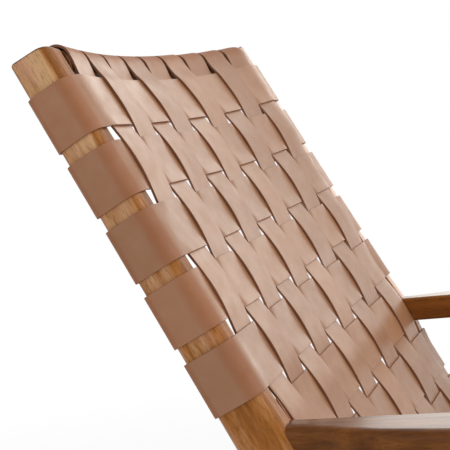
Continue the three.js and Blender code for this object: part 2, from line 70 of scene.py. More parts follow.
first_column = -(COLUMN_COUNT - 1) / 2 * COLUMN_PITCH
column_gap = COLUMN_PITCH - COLUMN_WIDTH
post_low, post_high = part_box("back_post_left")
frame_inner, frame_outer = post_low.x, post_high.x
strap_offset = STRAP_THICKNESS / 2 + CONTACT_GAP
print(f"posts from {frame_inner / MM:.1f} to {frame_outer / MM:.1f} mm off the middle")

# %% [markdown]
# ## Two panels, each in its own frame
# The back and the seat are both flat panels that were tilted, so the weave is easiest to write
# flat: X across the chair, Y up the back or rearwards along the seat, Z towards the sitter. One
# matrix then tilts it. Both panels start at the corner where seat and back meet. The sitter's
# weight has hollowed them a little, and that hollow is a depth that depends on X and Y.

# %% A woven panel
RAIL_TO_ROW = 8 * MM
RAIL_HEIGHT = 26 * MM
WOOD_SETBACK = 2 * MM
WEAVE_CLEARANCE = 0.1 * MM
COLUMN_RISE = 2.9 * MM
SIDE_CHANGE = 2.5 * MM
# Shares of the distance from the middle to the posts: where the hollow runs out, and where the
# rows begin to follow the posts.
RUN_OUT_FROM = 0.93
RUN_OUT_TO = 1.03
LEAN_FROM = 0.975
LEAN_TO = 1.06

strap_spacing = STRAP_THICKNESS + WEAVE_CLEARANCE


class WovenPanel:
    """Rows, columns and hollow of the back or of the seat, in the panel's own frame.

    side_rounds are the rounds of the side member's front and rear outer edges, fan spreads the
    columns, skew narrows the hollow on the sitter's left, and lean moves the side members' fronts.
    """

    def __init__(self, row_count, row_gap, far_rail_edge, side_depth, side_rounds, hollow):
        self.row_count = row_count
        self.row_pitch = STRAP_WIDTH + row_gap
        self.far_rail_edge = far_rail_edge
        self.side_depth = side_depth
        self.side_rounds = side_rounds
        self.hollow = hollow
        self.fan, self.skew = 0, 1
        self.lean = ((0, 0), (1, 0))
        self.far_edge = far_rail_edge - RAIL_HEIGHT
        self.first_row = self.far_edge - RAIL_TO_ROW - STRAP_WIDTH / 2
        self.last_row = self.first_row - (row_count - 1) * self.row_pitch
        self.near_edge = self.last_row - STRAP_WIDTH / 2 - RAIL_TO_ROW

    def depth(self, x, y):
        """Depth of the hollow: a parabola across, whose ends run out softly on the frame."""
        across = max(-x, x * self.skew) / frame_inner
        run_out = min(1, max(0, (across - RUN_OUT_FROM) / (RUN_OUT_TO - RUN_OUT_FROM)))
        start = 1 - RUN_OUT_FROM**2
        slope = 2 * RUN_OUT_FROM * (RUN_OUT_TO - RUN_OUT_FROM)
        soft = (1 - run_out) ** 2 * (start * (1 + 2 * run_out) - slope * run_out)
        along = min(max(y, self.near_edge), self.far_edge)
        share = (along - self.near_edge) / (self.far_edge - self.near_edge)
        bowl = 1 - across**2 if across < RUN_OUT_FROM else soft
        return -self.hollow(share, along - self.far_edge) * bowl

    def forward(self, x, y, z):
        """How far the fronts of the posts, and the rows on them, come forward at y."""
        below = self.first_row + STRAP_WIDTH / 2 - y
        lean = 0
        for (start, from_lean), (stop, to_lean) in zip(self.lean, self.lean[1:]):
            if start <= below < stop:
                lean = from_lean + (to_lean - from_lean) * (below - start) / (stop - start)
        rise = min(1, max(0, (abs(x) / frame_inner - LEAN_FROM) / (LEAN_TO - LEAN_FROM)))
        near_post = rise**2 * (3 - 2 * rise)
        near_front = min(1, max(0, 1 + (z + WOOD_SETBACK) / self.side_depth))
        return lean * near_post * near_front

    def fanned(self, x, y):
        """The columns spread a little from the first row towards the last."""
        return x * (1 + self.fan * (self.first_row - min(y, self.first_row)))

    def row_height(self, row, x, y):
        """A row keeps a strap's distance from each column, and changes sides in the gaps."""
        place = (x - first_column) / COLUMN_PITCH
        column = min(max(round(place), 0), COLUMN_COUNT - 1)
        to_gap = (0.5 - abs(place - column)) * COLUMN_PITCH / (column_gap / 2 + SIDE_CHANGE)
        side = math.sin(math.pi / 2 * min(1, max(0, to_gap)))
        off_middle = (self.first_row - min(y, self.first_row)) / self.row_pitch - row
        clear = max(0, strap_spacing - COLUMN_RISE * math.cos(math.pi * off_middle))
        return clear * side * (1 if (row + column) % 2 == 0 else -1)


print(f"columns swing {COLUMN_RISE / MM:.2f} mm, straps lie {strap_spacing / MM:.2f} mm apart")

# %% [markdown]
# ## The back and the seat
# The back is hollowed more towards its top and most at the top rail. Its columns spread a little
# on their way down, and the fronts of its posts come forward next to the arms. That lean is a
# short table of distances below the first row's upper edge and steps forward. The seat is simpler:
# it sags most halfway along.

# %% Back and seat
POST_DEPTH = 40 * MM
POST_ROUNDS = (12 * MM, 6 * MM)
BACK_ROWS = 9
BACK_GAP = 13.9 * MM
BACK_RAISE = 4 * MM
BACK_HOLLOW = 4 * MM
BACK_HOLLOW_GAIN = 9.6 * MM
RAIL_HOLLOW = 10 * MM
RAIL_HOLLOW_FADE = 45 * MM
BACK_FAN = 0.02
BACK_SKEW = 1.06
BACK_LEAN = (
    (-80 * MM, -1.5 * MM), (100 * MM, 0), (200 * MM, 1.2 * MM), (300 * MM, 2.8 * MM),
    (340 * MM, 5.5 * MM), (365 * MM, 5.5 * MM), (400 * MM, 0.5 * MM), (900 * MM, 0),
)
SIDE_RAIL_DEPTH = 44 * MM
SIDE_RAIL_ROUNDS = (9 * MM, 9 * MM)
SEAT_ROWS = 7
SEAT_GAP = 10 * MM
SEAT_SETBACK = 12 * MM
SEAT_HOLLOW = 9 * MM
SEAT_SAG = 10 * MM


def back_hollow(share, below_rail):
    at_rail = RAIL_HOLLOW * math.exp(below_rail / RAIL_HOLLOW_FADE)
    return BACK_HOLLOW + BACK_HOLLOW_GAIN * share + at_rail


def seat_hollow(share, below_rail):
    return SEAT_HOLLOW + SEAT_SAG * 4 * share * (1 - share)


back_reach = BACK_ROWS * STRAP_WIDTH + (BACK_ROWS - 1) * BACK_GAP + 2 * (RAIL_HEIGHT + RAIL_TO_ROW)
back = WovenPanel(BACK_ROWS, BACK_GAP, BACK_RAISE + back_reach, POST_DEPTH, POST_ROUNDS, back_hollow)
back.fan, back.skew, back.lean = BACK_FAN, BACK_SKEW, BACK_LEAN
seat = WovenPanel(SEAT_ROWS, SEAT_GAP, -SEAT_SETBACK, SIDE_RAIL_DEPTH, SIDE_RAIL_ROUNDS, seat_hollow)
print(f"{back.row_count} rows in the back, {seat.row_count} in the seat")

# %% [markdown]
# ## Where the panels stand
# The frame was centred on its own box, so the corner of seat and back isn't at Y = 0. The front
# legs tell how far it moved: they stand just in front of the seat's last row.

# %% Tilt the panels
BACK_RECLINE = math.radians(29)
SEAT_SLOPE = math.radians(10)
CORNER_HEIGHT = 270 * MM
ROW_TO_LEG = 3 * MM

_, leg_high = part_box("front_leg_left")
last_seat_edge = seat.last_row - STRAP_WIDTH / 2 - ROW_TO_LEG
under_rail = -WOOD_SETBACK - SIDE_RAIL_DEPTH - STRAP_THICKNESS - CONTACT_GAP
leg_from_corner = last_seat_edge * math.cos(SEAT_SLOPE) + under_rail * math.sin(SEAT_SLOPE)
corner = Matrix.Translation((0, leg_high.y - leg_from_corner, CORNER_HEIGHT))
back.tilt = corner @ Matrix.Rotation(math.pi / 2 - BACK_RECLINE, 4, "X")
seat.tilt = corner @ Matrix.Rotation(-SEAT_SLOPE, 4, "X")
print(f"seat and back meet at Y = {corner.translation.y / MM:.2f} mm")

# %% [markdown]
# ## The line that a strap follows
# Seen from its edge, a strap is a line: over a crossing, under the next, and at each end down
# onto a post or rail, round it and along its back. A curve object with a bevel could follow such
# a line, but a list of points is easier to keep clear of the wood. The first helpers make arcs,
# soft steps and the two kinds of ends: wrapped round a member, or tucked in beside it.

# %% Ends of a line
ARC_STEPS = 8
STATION_STEP = 4.5 * MM
END_SHORT = 4 * MM
TUCK_BEND = 4 * MM
TUCK_LENGTH = 28 * MM


def arc(centre_a, centre_b, radius, start, stop):
    angles = [math.radians(start + (stop - start) * k / ARC_STEPS) for k in range(ARC_STEPS + 1)]
    return [(centre_a + radius * math.cos(t), centre_b + radius * math.sin(t)) for t in angles]


def steps_between(low, high):
    count = max(2, round((high - low) / STATION_STEP))
    return [low + (high - low) * k / count for k in range(count + 1)]


def eased(start, stop):
    """Points from start to stop that leave and arrive level, without the two ends."""
    ease = [(a, (1 - math.cos(math.pi * (a - start[0]) / (stop[0] - start[0]))) / 2)
            for a in steps_between(start[0], stop[0])]
    return [(a, start[1] + (stop[1] - start[1]) * share) for a, share in ease[1:-1]]


def wrapped_end(near, far, depth, rounds, arrival):
    """Over the member's front, round its far side and along its back."""
    far_round, rear_round = rounds
    front, rear = -WOOD_SETBACK, -WOOD_SETBACK - depth
    over = arc(far - far_round, front - far_round, far_round + strap_offset, 90, 0)
    behind = arc(far - rear_round, rear + rear_round, rear_round + strap_offset, 0, -90)
    back_way = reversed(steps_between(near + END_SHORT, far - rear_round))
    tail = [(a, rear - strap_offset) for a in back_way]
    return [*eased(arrival, over[0]), *over, *behind, *tail[1:]]


def tucked_end(arrival):
    """Bent back along the inner face of the post."""
    inside = frame_inner - strap_offset
    start = (inside - TUCK_BEND, arrival[1])
    bend = arc(start[0], start[1] - TUCK_BEND, TUCK_BEND, 90, 0)
    run = [(inside, bend[-1][1] - step) for step in steps_between(0, TUCK_LENGTH)]
    return [*bend, *run[1:]]


def mirrored(line):
    return [(-a, b) for a, b in reversed(line)]


print(f"a tucked end has {len(tucked_end((0, 0)))} points")

# %% [markdown]
# ## Rows and columns
# The columns do the swinging, in long even waves, because the gaps between rows are wide enough
# to bend in. Past the first row they keep their height up to the rail. There they lie a little
# loose, except for the last few on the sitter's left, which were pulled tighter. The rows lie
# almost straight, and only their edges give way to the columns. One row of the back is at the
# arms' level, where it can't go round the posts, so it is tucked in.

# %% Lines of rows and columns
RAIL_THICKNESS = 24 * MM
RAIL_ROUNDS = (12 * MM, 10 * MM)
RAIL_SLACK = 3.8 * MM
RAIL_HOLD = 20 * MM
TIGHT_COLUMNS = 3
TUCKED_ROW = 5
GAP_STEPS = 6


def row_line(panel, row):
    """Level, with stations on every column and closer ones in the gaps that it changes sides in."""
    level = COLUMN_WIDTH / 2 - SIDE_CHANGE
    change = COLUMN_PITCH - 2 * level
    stations = []
    for column in range(COLUMN_COUNT):
        x = first_column + column * COLUMN_PITCH
        stations += steps_between(x - level, x + level)
        stations += [x + level + change * k / GAP_STEPS for k in range(1, GAP_STEPS)]
    outermost = stations.pop()
    woven = [(-outermost, 0.0), *((a, 0.0) for a in stations), (outermost, 0.0)]
    if panel is back and row == TUCKED_ROW:
        end = tucked_end(woven[-1])
    else:
        end = wrapped_end(frame_inner, frame_outer, panel.side_depth, panel.side_rounds, woven[-1])
    return mirrored(end) + woven + end


def column_line(panel, column):
    """Over one row and under the next, from the rail beyond the last row to that at the first."""
    rise = COLUMN_RISE if column % 2 == 1 else -COLUMN_RISE
    stations = steps_between(panel.last_row, panel.first_row)
    woven = [(y, rise * math.cos(math.pi * (panel.first_row - y) / panel.row_pitch)) for y in stations]
    woven.append((panel.first_row + RAIL_HOLD, woven[-1][1]))
    looseness = min(1, (COLUMN_COUNT - 1 - column) / TIGHT_COLUMNS)
    crest = panel.far_rail_edge + (RAIL_SLACK * looseness if panel is back else 0)
    far_end = wrapped_end(panel.far_edge, crest, RAIL_THICKNESS, RAIL_ROUNDS, woven[-1])
    arrival = (-woven[0][0], woven[0][1])
    near_edge, low_crest = -panel.near_edge, RAIL_HEIGHT - panel.near_edge
    near_end = wrapped_end(near_edge, low_crest, RAIL_THICKNESS, RAIL_ROUNDS, arrival)
    return mirrored(near_end) + woven + far_end


print(f"a back row has {len(row_line(back, 0))} stations, a back column {len(column_line(back, 0))}")

# %% [markdown]
# ## The section of a strap
# A cut strap is a flat rectangle with slightly broken arrises. Its cut edges are painted a darker
# brown, as painted shade, and its underside is the rough flesh side of the hide. Each point of the
# section keeps its share of cut edge and of flesh side, so that one material can later tell face,
# edge and underside apart.

# %% Strap section
ARRIS = 0.35 * MM
# Share of the cut edge's painted shade that the arris takes.
ARRIS_EDGE_SHADE = 0.3
FACE_POINTS = 9


def strap_section(width):
    """Points across and through the strap, each with its share of cut edge and of flesh side."""
    half, flat = STRAP_THICKNESS / 2, width / 2 - ARRIS
    lean = ARRIS * (1 - math.sqrt(0.5))
    face = [flat * (1 - 2 * k / (FACE_POINTS - 1)) for k in range(FACE_POINTS)]
    upper = [(w, half, 0, 0) for w in face]
    side = [(-width / 2 + lean, half - lean, ARRIS_EDGE_SHADE, 0), (-width / 2, half - ARRIS, 1, 0)]
    side += [(w, -h, edge, 0) for w, h, edge, _ in reversed(side)]
    lower = [(-w, -half, 0, 1) for w in face]
    other = [(-w, h, edge, flesh) for w, h, edge, flesh in reversed(side)]
    return [*upper, *side, *lower, *other]


print(f"strap section of {len(strap_section(STRAP_WIDTH))} points")

# %% [markdown]
# ## How a line turns and bends
# To carry a section along a line, each point needs the direction that is square to the line. Where
# the leather is bent it is painted warmer and darker, partly for real burnish and partly as painted
# shade of the bend's rounding, and it is duller there, so a second helper measures the bend, spread
# a little to both sides.

# %% Turn and bend of a line
TIGHT_BEND = 13 * MM
BEND_SPREAD = 2


def line_normals(points):
    normals = []
    for k in range(len(points)):
        before, after = points[max(0, k - 1)], points[min(len(points) - 1, k + 1)]
        run = Vector((after[0] - before[0], after[1] - before[1])).normalized()
        normals.append((-run.y, run.x))
    return normals


def line_bends(points):
    """How bent the line is at each point, up to 1 for a bend as tight as round a post."""
    runs = [Vector(after) - Vector(before) for before, after in zip(points, points[1:])]
    bends = [0.0]
    for before, after in zip(runs, runs[1:]):
        bends.append(before.angle(after) / (before.length + after.length) * 2 * TIGHT_BEND)
    bends = [min(1, bend) for bend in bends] + [0.0]
    for _ in range(BEND_SPREAD):
        neighbours = zip(bends[:1] + bends, bends, bends[1:] + bends[-1:])
        bends = [(before + 2 * bend + after) / 4 for before, bend, after in neighbours]
    return bends


print(f"a back row bends up to {max(line_bends(row_line(back, 0))):.2f}")

# %% [markdown]
# ## From a mesh to a piece of the chair
# Straps and wooden members end the same way: the mesh's faces are turned outwards and smoothed,
# except across sharp creases, and the object takes the place of the frame's plain piece. Values
# that only the material needs are kept with the mesh's points.

# %% Put a mesh in the chair
def note(mesh, name, values):
    """Keep a value with every point of a mesh, for its material."""
    mesh.attributes.new(name, "FLOAT", "POINT").data.foreach_set("value", values)


def finish_mesh(mesh, node, place, crease):
    """Face the mesh outwards, smooth it, and put it in the chair in place of a frame node."""
    shape = bmesh.new()
    shape.from_mesh(mesh)
    bmesh.ops.recalc_face_normals(shape, faces=shape.faces)
    shape.to_mesh(mesh)
    shape.free()
    mesh.shade_smooth()
    mesh.set_sharp_from_angle(angle=crease)
    piece = bpy.data.objects.new(mesh.name, mesh)
    bpy.context.scene.collection.objects.link(piece)
    piece.matrix_world = place
    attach(piece, "root")
    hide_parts(node)
    return piece


# %% [markdown]
# ## Straps as swept meshes
# Each strap is its section carried along its line. Doing it in code keeps the section upright at
# every bend, and lets the line follow the hollow of the panel at both edges of the strap. A slow
# sideways drift of half a millimetre makes the straps look pulled by hand. The back's first row
# is cut a little wider than the others.

# %% Sweep and place the straps
DRIFT = 0.5 * MM
DRIFT_WAVES = (0.25, 0.45)
STRAP_CREASE = math.radians(20)
FIRST_ROW_EXTRA = 3 * MM
weaver = random.Random(11)


def strap_piece(node, panel, line, middle, width, row=None):
    """One woven strap, a column or the row of that number, for the frame's strap of that name."""
    is_row = row is not None
    wave = weaver.uniform(*DRIFT_WAVES)
    phase = weaver.uniform(0, math.tau)
    tone = weaver.uniform(-1, 1)

    def surface(a, across, b):
        x, y = (a, across) if is_row else (across, a)
        return b + panel.depth(x, y) + panel.forward(x, y, b)

    section = strap_section(width)
    path = [(a, surface(a, middle, b)) for a, b in line]
    verts, edge_share, flesh_share, bend_share = [], [], [], []
    for (a, b), (push_a, push_b), bend in zip(line, line_normals(path), line_bends(path)):
        drift = DRIFT * math.sin(math.tau * a / wave + phase)
        drift += middle if is_row else panel.fanned(middle, a)
        for w, h, edge, flesh in section:
            along, across = a + h * push_a, drift + w
            lift = panel.row_height(row, a, across) if is_row else 0
            height = surface(a, across, b) + lift + h * push_b
            verts.append((along, across, height) if is_row else (across, along, height))
            edge_share.append(edge)
            flesh_share.append(flesh)
            bend_share.append(bend)
    count, last = len(section), len(line) - 1
    faces = [tuple(reversed(range(count))), tuple(range(last * count, (last + 1) * count))]
    for start in range(0, last * count, count):
        for k in range(count):
            after = (k + 1) % count
            faces.append((start + k, start + after, start + count + after, start + count + k))
    mesh = bpy.data.meshes.new(node + "_leather")
    mesh.from_pydata(verts, [], faces)
    note(mesh, "cut_edge", edge_share)
    note(mesh, "flesh_side", flesh_share)
    note(mesh, "bend", bend_share)
    note(mesh, "tone", [tone] * len(verts))
    return finish_mesh(mesh, node, panel.tilt, STRAP_CREASE)


straps = []
for panel, part in ((back, "back"), (seat, "seat")):
    for column in range(COLUMN_COUNT):
        x = first_column + column * COLUMN_PITCH
        node = f"{part}_column_strap_{column + 1}"
        straps.append(strap_piece(node, panel, column_line(panel, column), x, COLUMN_WIDTH))
    for row in range(panel.row_count):
        extra = FIRST_ROW_EXTRA if panel is back and row == 0 else 0
        y = panel.first_row - row * panel.row_pitch + extra / 2
        node = f"{part}_row_strap_{row + 1}"
        straps.append(strap_piece(node, panel, row_line(panel, row), y, STRAP_WIDTH + extra, row))
print(f"{len(straps)} straps, {sum(len(s.data.vertices) for s in straps)} points")

# %% [markdown]
# ## Tacks behind the frame
# Each strap's two ends are held by a pair of domed tacks where nobody sees them from the front.
# A tack head is small enough to be a few rings of points. All the tacks of one panel and
# direction go into one mesh, because a hundred separate objects would only slow Blender down.

# %% Tack heads
TACK_RADIUS = 3.4 * MM
TACK_DOME = 1.5 * MM
TACK_SINK = 0.2 * MM
TACK_SIDES = 14
TACK_RINGS = 4
TACK_CREASE = math.radians(50)


def add_tack(shape, seat_point, outward):
    """A domed head on a strap, facing outward."""
    turn = Vector((0, 0, 1)).rotation_difference(outward).to_matrix()
    rings = []
    for ring in range(TACK_RINGS):
        angle = math.pi / 2 * ring / TACK_RINGS
        reach, lift = TACK_RADIUS * math.cos(angle), TACK_DOME * math.sin(angle) - TACK_SINK
        spots = [math.tau * k / TACK_SIDES for k in range(TACK_SIDES)]
        points = [Vector((reach * math.cos(t), reach * math.sin(t), lift)) for t in spots]
        rings.append([shape.verts.new(seat_point + turn @ p) for p in points])
    tip = shape.verts.new(seat_point + turn @ Vector((0, 0, TACK_DOME - TACK_SINK)))
    for low, high in zip(rings, rings[1:]):
        for k in range(TACK_SIDES):
            after = (k + 1) % TACK_SIDES
            shape.faces.new((low[k], low[after], high[after], high[k]))
    for k in range(TACK_SIDES):
        shape.faces.new((rings[-1][k], rings[-1][(k + 1) % TACK_SIDES], tip))
    shape.faces.new(tuple(reversed(rings[0])))


def tacks(name, panel, spots):
    """One mesh of tack heads at the given spots, each with the direction that it faces."""
    shape = bmesh.new()
    for spot, outward in spots:
        add_tack(shape, Vector(spot), Vector(outward))
    mesh = bpy.data.meshes.new(name)
    shape.to_mesh(mesh)
    shape.free()
    mesh.shade_smooth()
    mesh.set_sharp_from_angle(angle=TACK_CREASE)
    piece = bpy.data.objects.new(name, mesh)
    bpy.context.scene.collection.objects.link(piece)
    piece.matrix_world = panel.tilt
    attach(piece, "root")
    return piece


print(f"a tack head has {TACK_SIDES * TACK_RINGS + 1} points")

# %% [markdown]
# ## Where the tacks go
# A pair of tacks sits across each strap's end: behind the posts and side rails for the rows,
# behind the cross rails for the columns, and on the posts' inner faces for the tucked row.

# %% Tack every strap end
TACK_SPREAD = 14 * MM
strap_outside = STRAP_THICKNESS + CONTACT_GAP


def row_tacks(panel):
    rear = -WOOD_SETBACK - panel.side_depth - strap_outside
    middle = (frame_inner + frame_outer) / 2
    spots = []
    for row in range(panel.row_count):
        y = panel.first_row - row * panel.row_pitch
        for side in (-1, 1):
            tucked = panel is back and row == TUCKED_ROW
            place = (side * (frame_inner - strap_outside), -TUCK_BEND - TUCK_LENGTH / 2)
            x, z = place if tucked else (side * middle, rear)
            outward = (-side, 0, 0) if tucked else (0, 0, -1)
            spots += [((x, y + spread, z), outward) for spread in (-TACK_SPREAD, TACK_SPREAD)]
    return spots


def column_tacks(panel):
    spots = []
    for column in range(COLUMN_COUNT):
        x = first_column + column * COLUMN_PITCH
        for y in (panel.far_edge + RAIL_HEIGHT / 2, panel.near_edge - RAIL_HEIGHT / 2):
            for spread in (-TACK_SPREAD, TACK_SPREAD):
                z = -WOOD_SETBACK - RAIL_THICKNESS - strap_outside
                z += panel.depth(x + spread, y) + panel.forward(x + spread, y, z)
                spots.append(((x + spread, y, z), (0, 0, -1)))
    return spots


tack_pieces = [
    tacks("back_row_tacks", back, row_tacks(back)),
    tacks("back_column_tacks", back, column_tacks(back)),
    tacks("seat_row_tacks", seat, row_tacks(seat)),
    tacks("seat_column_tacks", seat, column_tacks(seat)),
]
print(f"tacks in {len(tack_pieces)} pieces")

# %% [markdown]
# ## Wooden members
# The frame's solids already have the right shapes, but a joiner would also break every sharp
# arris. Rounding the CAD model itself would make it heavy, so each member is copied here, its flat
# faces are joined up, and its arrises get a small round. The arms get a larger one, for the
# sitter's hands.

# %% Copy a member and round its arrises
ARRIS_ROUND = 1.2 * MM
ROUND_STEPS = 4
SHARP = math.radians(50)
FLAT = math.radians(0.5)
WELD = 0.001 * MM


def copied_member(node, arris=ARRIS_ROUND):
    """The shape of a frame member with rounded arrises."""
    shape = bmesh.new()
    shape.from_mesh(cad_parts[node].data)
    bmesh.ops.remove_doubles(shape, verts=shape.verts, dist=WELD)
    bmesh.ops.dissolve_limit(shape, angle_limit=FLAT, verts=shape.verts, edges=shape.edges)
    arrises = [e for e in shape.edges if e.is_manifold and e.calc_face_angle(0) > SHARP]
    bmesh.ops.bevel(
        shape, geom=arrises, offset=arris, segments=ROUND_STEPS, profile=0.5,
        affect="EDGES", clamp_overlap=True,
    )
    return shape


print(f"arrises are rounded by {ARRIS_ROUND / MM:.1f} mm")

# %% [markdown]
# ## Back posts
# Only the back posts are made anew. Their rounds differ from corner to corner, their fronts lean
# with the rows, and their ends are sawn a little askew. A post is a stack of rings, each the same
# outline at another height, and the last few rings shrink to round its end.

# %% Back posts
POST_INNER_ROUND = 4 * MM
POST_RISE = 38.5 * MM
POST_FOOT = -4 * MM
END_ROUND = 3 * MM
END_RINGS = 4
FRONT_DROP = 2 * MM
CORNER_DROP = 5.5 * MM
post_front, post_rear = -WOOD_SETBACK, -WOOD_SETBACK - POST_DEPTH


def post_outline(inset):
    """The post's section, each corner with its own round, shrunk by inset."""
    outer_round, rear_round = POST_ROUNDS
    inner = frame_inner + POST_INNER_ROUND
    corners = (
        (frame_outer - outer_round, post_front - outer_round, outer_round, 0),
        (inner, post_front - POST_INNER_ROUND, POST_INNER_ROUND, 90),
        (inner, post_rear + POST_INNER_ROUND, POST_INNER_ROUND, 180),
        (frame_outer - rear_round, post_rear + rear_round, rear_round, 270),
    )
    outline = []
    for x, z, radius, turn in corners:
        outline += arc(x, z, radius - inset, turn, turn + 90)
    return outline


def post_end(x, z):
    """Height of the post's end, which falls to the front and most to the inner front corner."""
    forward = (z - post_rear) / POST_DEPTH
    inward = (frame_outer - x) / (frame_outer - frame_inner)
    drop = FRONT_DROP * forward + CORNER_DROP * inward * forward**2
    return back.first_row + STRAP_WIDTH / 2 + POST_RISE - drop


def back_post(side):
    """A post from inside the side rail up to its rounded end."""
    row_top = back.first_row + STRAP_WIDTH / 2
    rings = [[(x, POST_FOOT, z) for x, z in post_outline(0)]]
    for below, _ in reversed(back.lean[1:-1]):
        rings.append([(x, row_top - below, z) for x, z in post_outline(0)])
    for k in range(END_RINGS + 1):
        turn = math.pi / 2 * k / END_RINGS
        spots = post_outline(END_ROUND * (1 - math.cos(turn)))
        rings.append([(x, post_end(x, z) - END_ROUND * (1 - math.sin(turn)), z) for x, z in spots])
    shape = bmesh.new()
    for k, ring in enumerate(rings):
        spots = [(side * x, y, z + back.forward(frame_outer, y, z)) for x, y, z in ring]
        rings[k] = [shape.verts.new(spot) for spot in spots]
    for low, high in zip(rings, rings[1:]):
        for k in range(len(low)):
            shape.faces.new((low[k - 1], low[k], high[k], high[k - 1]))
    shape.faces.new(rings[0])
    shape.faces.new(rings[-1])
    bmesh.ops.transform(shape, matrix=back.tilt, verts=shape.verts)
    return shape


print(f"a post's outline has {len(post_outline(0))} points")

# %% [markdown]
# ## Members along their grain
# Wood shows its grain along each member, so each mesh is turned until its own Z axis runs along
# the grain, and the material can use the object's own coordinates. A random step along the grain
# means that no two members show the same piece of wood. The arms were cut from darker wood.

# %% Place the members
ARM_SLOPE = math.radians(-5)
REAR_LEG_SPLAY = math.radians(24)
ARM_ROUND = 4 * MM
GRAIN_SHIFT = 2
LEG_TONE = 1.2
ARM_TONE = 1.8
RAIL_TONE = 1.1
SIDES = (("left", 1), ("right", -1))
HIDDEN_RAILS = ("top_rail", "lower_back_rail", "rear_seat_rail", "front_seat_rail")

joiner = random.Random(5)
along_x, along_y, along_z = Vector((1, 0, 0)), Vector((0, 1, 0)), Vector((0, 0, 1))
grain_of = {
    "back_post": back.tilt.to_3x3() @ along_y,
    "seat_side_rail": seat.tilt.to_3x3() @ along_y,
    "arm": Matrix.Rotation(ARM_SLOPE, 3, "X") @ along_y,
    "front_leg": along_z,
    "rear_leg": Matrix.Rotation(REAR_LEG_SPLAY, 3, "X") @ along_z,
}
tone_of = {
    "back_post": 1.0, "seat_side_rail": RAIL_TONE, "arm": ARM_TONE,
    "front_leg": LEG_TONE, "rear_leg": RAIL_TONE,
}


def wooden_member(shape, node, grain, tone):
    """A member of the frame, turned so that Z runs along its grain."""
    low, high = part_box(node)
    start = (low + high) / 2 + grain * joiner.uniform(-GRAIN_SHIFT, GRAIN_SHIFT)
    turn = along_z.rotation_difference(grain).to_matrix().to_4x4()
    place = Matrix.Translation(start) @ turn
    mesh = bpy.data.meshes.new(node + "_wood")
    shape.to_mesh(mesh)
    shape.free()
    mesh.transform(place.inverted())
    note(mesh, "tone", [tone] * len(mesh.vertices))
    piece = finish_mesh(mesh, node, place, SHARP)
    piece.modifiers.new("even_faces", "WEIGHTED_NORMAL").keep_sharp = True
    return piece


members = []
for kind, tone in tone_of.items():
    for side, sign in SIDES:
        node = f"{kind}_{side}"
        arris = ARM_ROUND if kind == "arm" else ARRIS_ROUND
        shape = back_post(sign) if kind == "back_post" else copied_member(node, arris)
        members.append(wooden_member(shape, node, grain_of[kind], tone))
for node in HIDDEN_RAILS:
    members.append(wooden_member(copied_member(node), node, along_x, RAIL_TONE))
print(f"{len(members)} wooden members")

# %% [markdown]
# ## Helpers for materials
# A material is a small graph of nodes. Building graphs by hand in code gets long, so one helper
# places a node and fills its inputs, either with a value or with a link from another node. The
# others are short names for the nodes used most, start a reusable node group with named sockets,
# turn web colours into Blender's, and start and finish a material.

# %% Node helpers
KINDS = {"vector": "NodeSocketVector", "colour": "NodeSocketColor", "value": "NodeSocketFloat"}


def put(tree, kind, inputs=None, **settings):
    """Place a node. An input is a value or another node's output socket."""
    made = tree.nodes.new("ShaderNode" + kind)
    for name, value in settings.items():
        setattr(made, name, value)
    for key, value in (inputs or {}).items():
        if isinstance(value, bpy.types.NodeSocket):
            tree.links.new(value, made.inputs[key])
        else:
            made.inputs[key].default_value = value
    return made


def math_node(tree, operation, first, second):
    return put(tree, "Math", {0: first, 1: second}, operation=operation).outputs[0]


def plus(tree, first, second):
    return math_node(tree, "ADD", first, second)


def times(tree, first, second):
    return math_node(tree, "MULTIPLY", first, second)


def blend_colours(tree, share, first, second):
    return put(tree, "Mix", {0: share, 6: first, 7: second}, data_type="RGBA").outputs[2]


def remap(tree, value, low, high, to_low, to_high):
    """Stretch the range from low to high to that from to_low to to_high, and hold its ends."""
    inputs = {"Value": value, "From Min": low, "From Max": high, "To Min": to_low, "To Max": to_high}
    return put(tree, "MapRange", inputs).outputs["Result"]


def noise(tree, vector, scale, detail, roughness):
    inputs = {"Vector": vector, "Scale": scale, "Detail": detail, "Roughness": roughness}
    return put(tree, "TexNoise", inputs).outputs["Fac"]


def stretched(tree, vector, factors):
    return put(tree, "VectorMath", {0: vector, 1: factors}, operation="MULTIPLY").outputs[0]


def start_group(name, sockets_in, sockets_out):
    group = bpy.data.node_groups.new(name, "ShaderNodeTree")
    for label, kind in sockets_in:
        group.interface.new_socket(label, in_out="INPUT", socket_type=KINDS[kind])
    for label, kind in sockets_out:
        group.interface.new_socket(label, in_out="OUTPUT", socket_type=KINDS[kind])
    entry, result = group.nodes.new("NodeGroupInput"), group.nodes.new("NodeGroupOutput")
    return group, entry.outputs, result.inputs


def srgb(code):
    """A web colour as linear red, green, blue and alpha."""
    parts = [int(code[k : k + 2], 16) / 255 for k in (0, 2, 4)]
    return [c / 12.92 if c <= 0.04045 else ((c + 0.055) / 1.055) ** 2.4 for c in parts] + [1.0]


def start_material(name):
    material = bpy.data.materials.new(name)
    material.use_nodes = True
    tree = material.node_tree
    return material, tree, tree.nodes["Principled BSDF"]


def dress(tree, shader, surface, bump):
    """Give a shader the colour, roughness and height of a surface group."""
    raised = put(tree, "Bump", {"Height": surface.outputs["Height"], **bump})
    tree.links.new(surface.outputs["Colour"], shader.inputs["Base Color"])
    tree.links.new(surface.outputs["Roughness"], shader.inputs["Roughness"])
    tree.links.new(raised.outputs["Normal"], shader.inputs["Normal"])


print(f"middle grey is {srgb('808080')[0]:.3f} in linear light")
